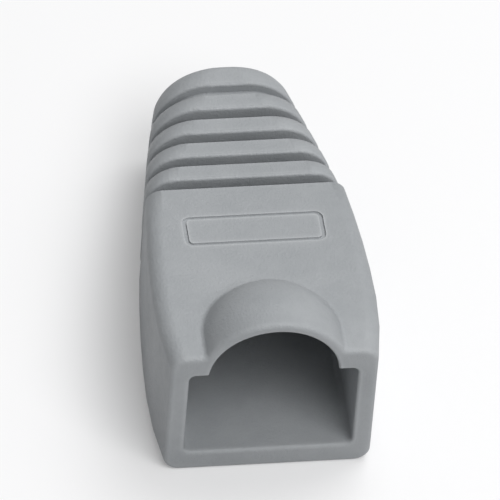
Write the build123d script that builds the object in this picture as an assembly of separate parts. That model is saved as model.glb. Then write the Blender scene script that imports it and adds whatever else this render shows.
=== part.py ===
"""Strain relief boot for an eight-way modular plug.

One soft moulding: a plug opening with a latch bubble over it, and slotted ribs that run in to a cable bore.
"""
import os
from math import cos, pi, sin
from build123d import *

# Plug opening, sizes in millimetres
opening_width = 11.8
opening_height = 7.9
opening_corner = 0.5
plug_depth = 12.6

# Walls round the opening
side_wall = 1.3
floor_wall = 1.8
roof_wall = 1.8

# Outer form, with the stations behind the front where its swell ends and its roof begins to fall
length = 29.4
side_swell = 0.6
belly_station = 5.7
roof_station = 3.0
front_corner = 1.15
plan_power = 1.85
rear_diameter = 9.5
rear_flat = 0.6

# Cable bore
bore_diameter = 6.5
bore_length = 4.4

# Slotted ribs
rib_count = 5
rib_pitch = 2.38
rib_corner = 2.0
rear_ring = 2.1
slot_width = 0.7
blind_depth = 0.75
bridge_height = 2.1
bridge_sink = 0.15

# Latch bubble, with the ledge of the opening's roof left at each side of its arch
bubble_ledge = 1.35
bubble_reach = 6.8
bubble_shell = 0.75
bubble_sink = 0.4

# Blank panel on the roof, outlined by a fine groove, and its gap to the first slot
panel_width = 9.9
panel_length = 3.0
panel_corner = 0.6
panel_gap = 3.2
line_width = 0.3
line_depth = 0.14

# Rounding of edges, and the largest shares of a wall that its outer and inner edges take
rib_round = 0.27
bubble_round = 0.4
front_round = 0.4
mouth_round = 0.25
rear_round = 0.6
bore_round = 0.3
outer_share = 0.48
inner_share = 0.3

# Trim that makes the underside level, overshoot of cutting shapes, and how near counts as touching
trim = 0.02
overshoot = 2.0
touch = 0.01

# Sections in the front block's loft, and steps in the turned edges of the openings and the ribs
block_sections = 7
turn_steps = 3
rib_steps = 1

# Derived sizes
front_width = opening_width + 2 * side_wall
front_height = floor_wall + opening_height + roof_wall
belly_width = front_width + 2 * side_swell
cavity_top = floor_wall + opening_height
rear_axis = rear_diameter / 2
rear_wall = (rear_diameter - bore_diameter) / 2
rear_corner = (rear_diameter - rear_flat) / 2
last_slot = length - rear_ring - slot_width / 2
slots = [last_slot - n * rib_pitch for n in reversed(range(rib_count))]
block_end = slots[0] - slot_width / 2
bubble_inside = opening_width / 2 - bubble_ledge
bubble_outside = bubble_inside + bubble_shell
bubble_axis = cavity_top - bubble_sink
roof_lift = front_height - bubble_axis
bubble_centre = bubble_reach - (bubble_outside ** 2 - roof_lift ** 2) ** 0.5
rim_edge = min(front_round, outer_share * bubble_shell)
mouth_edge = min(mouth_round, inner_share * bubble_shell)
rear_edge = min(rear_round, outer_share * rear_wall)
bore_edge = min(bore_round, inner_share * rear_wall)
far = 2 * length


def across(y):
    """Plane square to the boot's axis, its own x to the right and y up."""
    return Plane(origin=(0, y, 0), x_dir=(1, 0, 0), z_dir=(0, -1, 0))


def ramp(y, start, end):
    """Share of the way from start to end, easing in and out."""
    t = min(1.0, max(0.0, (y - start) / (end - start)))
    return t * t * (3 - 2 * t)


def width_at(y):
    """Plan form, a slight swell behind the front and one long curve in to the rear ring."""
    if y < belly_station:
        return belly_width - 2 * side_swell * (1 - y / belly_station) ** 2
    share = (y - belly_station) / (length - belly_station)
    return belly_width - (belly_width - rear_diameter) * share ** plan_power


def height_at(y):
    """Roof height over the level underside."""
    return front_height - (front_height - rear_diameter) * ramp(y, roof_station, length)


def corner_at(y):
    """Radius of the long edges, even along the block and opening out over the ribs to all but a ring."""
    if y <= block_end:
        return front_corner
    return rib_corner + (rear_corner - rib_corner) * (y - block_end) / (length - block_end)


def section(y, inset=0.0):
    """Outer section at one station, drawn in by an even inset and carried a trim below the underside."""
    width = width_at(y) - 2 * inset
    height = height_at(y) - 2 * inset + trim
    return Pos(0, (height_at(y) - trim) / 2) * RectangleRounded(width, height, corner_at(y) - inset)


def turn(end, radius, way, steps):
    """Stations and insets that turn an edge over from a flat end, way being +1 or -1 into the solid."""
    angles = [n * pi / 2 / steps for n in range(steps + 1)]
    return [(end + way * radius * (1 - cos(a)), radius * (1 - sin(a))) for a in angles]


def turned_edge(end, radius, way, steps):
    """Outer sections that turn the edge over from a flat end."""
    return [across(y) * section(y, inset) for y, inset in turn(end, radius, way, steps)]


def flare(profile, end, radius, way):
    """Cut that opens a hole's edge out to a flat end, profile giving the hole grown by an amount."""
    steps = [(end - way * overshoot, radius)] + turn(end, radius, way, turn_steps)
    return loft([across(y) * profile(growth) for y, growth in steps], ruled=True)


def ring(start, end, end_round, end_steps):
    """Solid disc between two stations with both outer edges turned over."""
    first = turned_edge(start, rib_round, 1, rib_steps)
    last = turned_edge(end, end_round, -1, end_steps)
    return loft(first + last[::-1], ruled=True)


def bubble_form(radius, front):
    """Half-round tunnel from the front station back, closed by the upper part of a ball."""
    tunnel = extrude(across(front) * Pos(0, bubble_axis) * Circle(radius), front - bubble_centre)
    ball = Pos(0, bubble_centre, bubble_axis) * Sphere(radius)
    upper_room = Pos(0, front, bubble_axis) * Box(far, far, far, align=(Align.CENTER, Align.MIN, Align.MIN))
    return (tunnel + ball) & upper_room


def front_outline(inset):
    """Outline of the front block and the bubble together, drawn in by an even inset."""
    outline = section(rim_edge, inset) + Pos(0, bubble_axis) * Circle(bubble_outside - inset)
    creases = [v for v in outline.vertices() if abs(v.X) < bubble_outside and v.Y > bubble_axis]
    return fillet(creases, bubble_round + inset)


def room(growth=0.0):
    """Section of the plug room."""
    width = opening_width + 2 * growth
    height = opening_height + 2 * growth
    return Pos(0, floor_wall + opening_height / 2) * RectangleRounded(width, height, opening_corner + growth)


def arch(growth=0.0):
    """Section of the hollow under the bubble."""
    return Pos(0, bubble_axis) * Circle(bubble_inside + growth)


def bore(growth=0.0):
    """Section of the cable bore."""
    return Pos(0, rear_axis) * Circle(bore_diameter / 2 + growth)


def end_face(shape, y):
    """Flat face of a shape, square to the axis, at one station."""
    return shape.faces().filter_by(Axis.Y).filter_by_position(Axis.Y, y - touch, y + touch)[0]


# Front block, a rounded box that narrows to the first slot, with the latch bubble on its roof
block_back = block_end - rib_round
stations = [rim_edge + (block_back - rim_edge) * n / (block_sections - 1) for n in range(block_sections)]
block = loft([across(y) * section(y) for y in stations], ruled=True)
bubble = bubble_form(bubble_outside, rim_edge)
front = block + bubble
foot = [e for e in new_edges(block, bubble, combined=front) if e.bounding_box().max.Y > rim_edge + touch]
front = fillet(foot, bubble_round)
front += loft(turned_edge(block_end, rib_round, -1, rib_steps), ruled=True)

# Rim of the opening, the front outline drawn in as it turns over
rim_turn = turn(0, rim_edge, 1, turn_steps)[:-1]
rim = [across(y) * front_outline(inset) for y, inset in rim_turn] + [end_face(front, rim_edge)]
front += loft(rim, ruled=True)

# Ribs and the rear ring, parted by the slots
pieces = [front]
for y, next_y in zip(slots, slots[1:]):
    pieces.append(ring(y + slot_width / 2, next_y - slot_width / 2, rib_round, rib_steps))
pieces.append(ring(last_slot + slot_width / 2, length, rear_edge, turn_steps))

# A bridge at each side of every slot joins the ribs, and the last slot is blind all round
for y in slots:
    band = Pos(0, height_at(y) / 2) * Rectangle(far, bridge_height)
    bridges = across(y) * (section(y, bridge_sink) & band)
    pieces.append(extrude(bridges, slot_width / 2 + rib_round, both=True))
pieces.append(extrude(across(last_slot) * section(last_slot, blind_depth), slot_width / 2, both=True))
body = pieces[0].fuse(*pieces[1:])
body -= Box(far, 2 * far, far, align=(Align.CENTER, Align.CENTER, Align.MAX))

# Plug room, funnel and cable bore as one core drawn out at the front
funnel_end = length - bore_length
core = extrude(across(-overshoot) * room(), -(plug_depth + overshoot))
core += loft([across(plug_depth) * room(), across(funnel_end) * bore()])
core += extrude(across(funnel_end) * bore(), -(bore_length + overshoot))
core += bubble_form(bubble_inside, -overshoot)
body -= core
body -= flare(room, 0, mouth_edge, 1)
body -= flare(arch, 0, mouth_edge, 1)
body -= flare(bore, length, bore_edge, -1)

# Blank panel ahead of the first slot, its groove following the roof's slope
panel_rear = block_end - panel_gap
panel_front = panel_rear - panel_length
panel_fall = height_at(panel_front) - height_at(panel_rear)
panel_height = (height_at(panel_front) + height_at(panel_rear)) / 2 - line_depth
panel_middle = (0, (panel_front + panel_rear) / 2, panel_height)
groove_floor = Plane(origin=panel_middle, x_dir=(1, 0, 0), z_dir=(0, panel_fall, panel_length))
blank_width = panel_width - 2 * line_width
blank_length = panel_length - 2 * line_width
groove = RectangleRounded(panel_width, panel_length, panel_corner)
groove -= RectangleRounded(blank_width, blank_length, panel_corner - line_width)
body -= extrude(groove_floor * groove, overshoot)

# The origin lies under the middle of the boot
os.makedirs("parts", exist_ok=True)
export_step(Pos(0, -length / 2, 0) * body, "parts/strain_relief_boot.step")
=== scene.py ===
"""Looks of a strain relief boot: one soft matte grey moulding on a white studio floor."""
import math

import bpy
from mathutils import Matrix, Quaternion, Vector


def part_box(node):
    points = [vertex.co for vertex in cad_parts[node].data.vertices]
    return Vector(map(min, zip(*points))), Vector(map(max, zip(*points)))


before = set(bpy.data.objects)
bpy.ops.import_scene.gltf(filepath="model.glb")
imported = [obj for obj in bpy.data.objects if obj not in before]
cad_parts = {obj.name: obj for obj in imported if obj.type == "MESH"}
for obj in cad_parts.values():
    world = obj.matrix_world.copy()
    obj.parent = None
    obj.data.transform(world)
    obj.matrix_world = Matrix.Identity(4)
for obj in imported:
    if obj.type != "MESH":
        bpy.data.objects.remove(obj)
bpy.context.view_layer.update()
scene = bpy.context.scene
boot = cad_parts["strain_relief_boot"]

# Sizes of the boot, from the frame, in metres
low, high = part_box("strain_relief_boot")
middle = (low + high) / 2
length = high.y - low.y
millimetre = 0.001

# Camera: where it stands, its roll, its aim off the boot's middle, and the boot length's share of the picture
view_azimuth = math.radians(-10.6)
view_elevation = math.radians(47.9)
view_roll = math.radians(5)
view_distance = 0.842
aim_right = 0.2 * millimetre
aim_up = -0.8 * millimetre
picture_share = 0.84
nearest_seen = 0.01
farthest_seen = 20.0

# Colours, linear
boot_dark = (0.305, 0.321, 0.335, 1.0)
boot_light = (0.365, 0.380, 0.394, 1.0)
# Paler colour painted on the convex edges as a highlight
painted_edge_highlight = (0.47, 0.486, 0.5, 1.0)
floor_colour = (0.70, 0.70, 0.705, 1.0)
white = (1.0, 1.0, 1.0, 1.0)

# Noise in the finish: cells to the millimetre, layers of finer detail and their strength, and its usual range
cloud_noise = (0.16, 9.0, 0.68)
sheen_noise = (1.5, 4.0, 0.5)
grain_noise = (5.0, 2.0, 0.6)
noise_range = (0.3, 0.7)

# Finish of the moulding: its grain, its gloss, and the painted highlight on its edges, found by how little
# solid lies behind
grain_depth = 0.06 * millimetre
grain_strength = 0.8
gloss_level = 0.4
dull_range = (0.5, 0.64)
edge_reach = 0.45 * millimetre
edge_highlight_range = (0.95, 0.45)
edge_samples = 8

# Shading of the mesh: how near points count as one, how level faces do, and the angle where edges stay sharp
weld_reach = 0.0005 * millimetre
flat_limit = math.radians(0.1)
sharp_from = math.radians(70)

# Slanted rib edges: the ribs' place behind the front, how far these faces lean, and the least face strength
ribs_span = (16.5 * millimetre, 28.5 * millimetre)
slant_lean = (0.55, 0.85)
weak_face = -16384

# Lamps, with places in degrees, sizes in metres and power in watts, and the world's light
key_lamp = dict(azimuth=135, elevation=64, distance=0.45, size=0.30, power=1.0)
front_lamp = dict(azimuth=28, elevation=56, distance=0.5, size=0.30, power=1.45)
world_strength = 0.26

# Floor: half its side in metres, how dull it is, and the glow that the camera sees
floor_half = 3.0
floor_dull = 0.9
floor_glow = 0.22


def direction(azimuth, elevation):
    """Unit vector from the boot towards a place round it, azimuth 0 being in front."""
    flat = math.cos(elevation)
    return Vector((math.sin(azimuth) * flat, -math.cos(azimuth) * flat, math.sin(elevation)))


def fill(tree, sockets, inputs):
    """Fills a node's inputs, each with a plain value or with another node's output."""
    for name, value in inputs.items():
        if isinstance(value, bpy.types.NodeSocket):
            tree.links.new(value, sockets[name])
        else:
            sockets[name].default_value = value


def node(tree, kind, inputs=None, **settings):
    """Adds a shader or geometry node with its settings, fills its inputs and gives its outputs."""
    made = tree.nodes.new(kind)
    for name, value in settings.items():
        setattr(made, name, value)
    fill(tree, made.inputs, inputs or {})
    return made.outputs


def compute(tree, operation, *values):
    """Result of one step of arithmetic."""
    return node(tree, "ShaderNodeMath", dict(enumerate(values)), operation=operation)["Value"]


def between(tree, value, limits):
    """One where a value lies between two limits, and nought elsewhere."""
    centre = (limits[0] + limits[1]) / 2
    return compute(tree, "COMPARE", value, centre, limits[1] - centre)


def noise(tree, place, cells, detail, roughness):
    """Noise with a number of cells to the millimetre."""
    inputs = {"Vector": place, "Scale": cells / millimetre, "Detail": detail, "Roughness": roughness}
    return node(tree, "ShaderNodeTexNoise", inputs)["Fac"]


def spread(tree, value, source, target=(0.0, 1.0)):
    """Carries one range of a value over to another."""
    limits = {"From Min": source[0], "From Max": source[1], "To Min": target[0], "To Max": target[1]}
    return node(tree, "ShaderNodeMapRange", {"Value": value, **limits})["Result"]


def blend(tree, share, first, second):
    """Mix of two colours."""
    inputs = {"Factor": share, "A": first, "B": second}
    return node(tree, "ShaderNodeMix", inputs, data_type="RGBA")["Result"]


def new_material(name):
    """Plain material, with its node tree and its shader's inputs."""
    made = bpy.data.materials.new(name)
    made.use_nodes = True
    return made, made.node_tree, made.node_tree.nodes["Principled BSDF"].inputs


def soft_moulding():
    """Soft matte plastic: a fine grain, faint flow clouds, a dull uneven sheen and a painted highlight on the
    edges.
    """
    made, tree, shader = new_material("soft_grey_moulding")
    place = node(tree, "ShaderNodeTexCoord")["Object"]
    clouds = spread(tree, noise(tree, place, *cloud_noise), noise_range)
    # Painted highlight: convex edges, with little solid behind them, turn paler
    behind = {"Distance": edge_reach}
    solid = node(tree, "ShaderNodeAmbientOcclusion", behind, samples=edge_samples, inside=True)
    edges = spread(tree, solid["AO"], edge_highlight_range)
    colour = blend(tree, edges, blend(tree, clouds, boot_dark, boot_light), painted_edge_highlight)
    dull = spread(tree, noise(tree, place, *sheen_noise), noise_range, dull_range)
    grain = {"Height": noise(tree, place, *grain_noise), "Strength": grain_strength, "Distance": grain_depth}
    normal = node(tree, "ShaderNodeBump", grain)["Normal"]
    fill(tree, shader, {"Base Color": colour, "Roughness": dull, "Normal": normal})
    fill(tree, shader, {"Specular IOR Level": gloss_level})
    return made


def slanted_rib_edges(tree):
    """One on the slanted faces along the edges of the ribs, and nought elsewhere."""
    place = node(tree, "GeometryNodeInputPosition")["Position"]
    facing = node(tree, "GeometryNodeInputNormal")["Normal"]
    station = node(tree, "ShaderNodeSeparateXYZ", {"Vector": place})["Y"]
    lean = compute(tree, "ABSOLUTE", node(tree, "ShaderNodeSeparateXYZ", {"Vector": facing})["Y"])
    on_ribs = between(tree, station, [low.y + end for end in ribs_span])
    return compute(tree, "MULTIPLY", between(tree, lean, slant_lean), on_ribs)


def shading_nodes():
    """Nodes that shade smoothly across all but sharp edges, and mark the slanted rib edges as weak faces."""
    tree = bpy.data.node_groups.new("smooth_shading", "GeometryNodeTree")
    for way in ("INPUT", "OUTPUT"):
        tree.interface.new_socket("Geometry", in_out=way, socket_type="NodeSocketGeometry")
    skin = node(tree, "NodeGroupInput")["Geometry"]
    skin = node(tree, "GeometryNodeSetShadeSmooth", {"Geometry": skin}, domain="FACE")["Geometry"]
    angle = node(tree, "GeometryNodeInputMeshEdgeAngle")["Unsigned Angle"]
    edges = {"Geometry": skin, "Shade Smooth": compute(tree, "LESS_THAN", angle, sharp_from)}
    skin = node(tree, "GeometryNodeSetShadeSmooth", edges, domain="EDGE")["Geometry"]
    strength = compute(tree, "MULTIPLY", slanted_rib_edges(tree), weak_face)
    faces = {"Geometry": skin, "Name": "__mod_weightednormals_faceweight", "Value": strength}
    skin = node(tree, "GeometryNodeStoreNamedAttribute", faces, domain="FACE", data_type="INT")["Geometry"]
    node(tree, "NodeGroupOutput", {"Geometry": skin})
    return tree


def smooth_shading(piece):
    """Joins the skin, makes each flat face one, and shades the turned edges as round."""
    weld = piece.modifiers.new("one_skin", "WELD")
    weld.merge_threshold = weld_reach
    flats = piece.modifiers.new("whole_flats", "DECIMATE")
    flats.decimate_type = "DISSOLVE"
    flats.angle_limit = flat_limit
    smooth = piece.modifiers.new("smooth_shading", "NODES")
    smooth.node_group = shading_nodes()
    lead = piece.modifiers.new("strong_faces_lead", "WEIGHTED_NORMAL")
    lead.keep_sharp = True
    lead.use_face_influence = True


def dress_boot():
    """The boot keeps its own form and gets its finish."""
    boot.data.materials.clear()
    boot.data.materials.append(soft_moulding())
    smooth_shading(boot)


def add_camera():
    """Long lens at the photograph's angle, with the roll that the boot's place in the picture gives it."""
    data = bpy.data.cameras.new("camera")
    data.lens = picture_share * data.sensor_width * view_distance / length
    data.clip_start = nearest_seen
    data.clip_end = farthest_seen
    camera = bpy.data.objects.new("camera", data)
    back = direction(view_azimuth, view_elevation)
    turn = (-back).to_track_quat("-Z", "Y") @ Quaternion((0, 0, 1), view_roll)
    aim = middle + turn @ Vector((aim_right, aim_up, 0))
    camera.location = aim + back * view_distance
    camera.rotation_euler = turn.to_euler()
    scene.collection.objects.link(camera)
    scene.camera = camera


def add_lamp(name, azimuth, elevation, distance, size, power):
    """Square soft box that faces the boot."""
    data = bpy.data.lights.new(name, "AREA")
    data.shape = "SQUARE"
    data.size = size
    data.energy = power
    lamp = bpy.data.objects.new(name, data)
    away = direction(math.radians(azimuth), math.radians(elevation))
    lamp.location = middle + away * distance
    lamp.rotation_euler = (-away).to_track_quat("-Z", "Y").to_euler()
    scene.collection.objects.link(lamp)


def floor_white():
    """White that keeps shadows, with a little glow of its own that the camera and reflections see."""
    made, tree, shader = new_material("floor_white")
    rays = node(tree, "ShaderNodeLightPath")
    seen = compute(tree, "MAXIMUM", rays["Is Camera Ray"], rays["Is Glossy Ray"])
    seen = compute(tree, "MAXIMUM", seen, rays["Is Transmission Ray"])
    glow = compute(tree, "MULTIPLY", seen, floor_glow)
    fill(tree, shader, {"Base Color": floor_colour, "Roughness": floor_dull, "Specular IOR Level": 0.0})
    fill(tree, shader, {"Emission Color": white, "Emission Strength": glow})
    return made


def add_floor():
    """Wide level floor under the boot."""
    half = floor_half
    corners = [(-half, -half, 0), (half, -half, 0), (half, half, 0), (-half, half, 0)]
    mesh = bpy.data.meshes.new("floor")
    mesh.from_pydata(corners, [], [(0, 1, 2, 3)])
    mesh.materials.append(floor_white())
    floor = bpy.data.objects.new("floor", mesh)
    floor.location.z = low.z
    scene.collection.objects.link(floor)


def add_world():
    """Soft even light from all round."""
    world = bpy.data.worlds.new("studio")
    world.use_nodes = True
    background = world.node_tree.nodes["Background"]
    fill(world.node_tree, background.inputs, {"Color": white, "Strength": world_strength})
    scene.world = world


dress_boot()
add_camera()
add_lamp("key", **key_lamp)
add_lamp("front", **front_lamp)
add_floor()
add_world()
scene.view_settings.view_transform = "Standard"
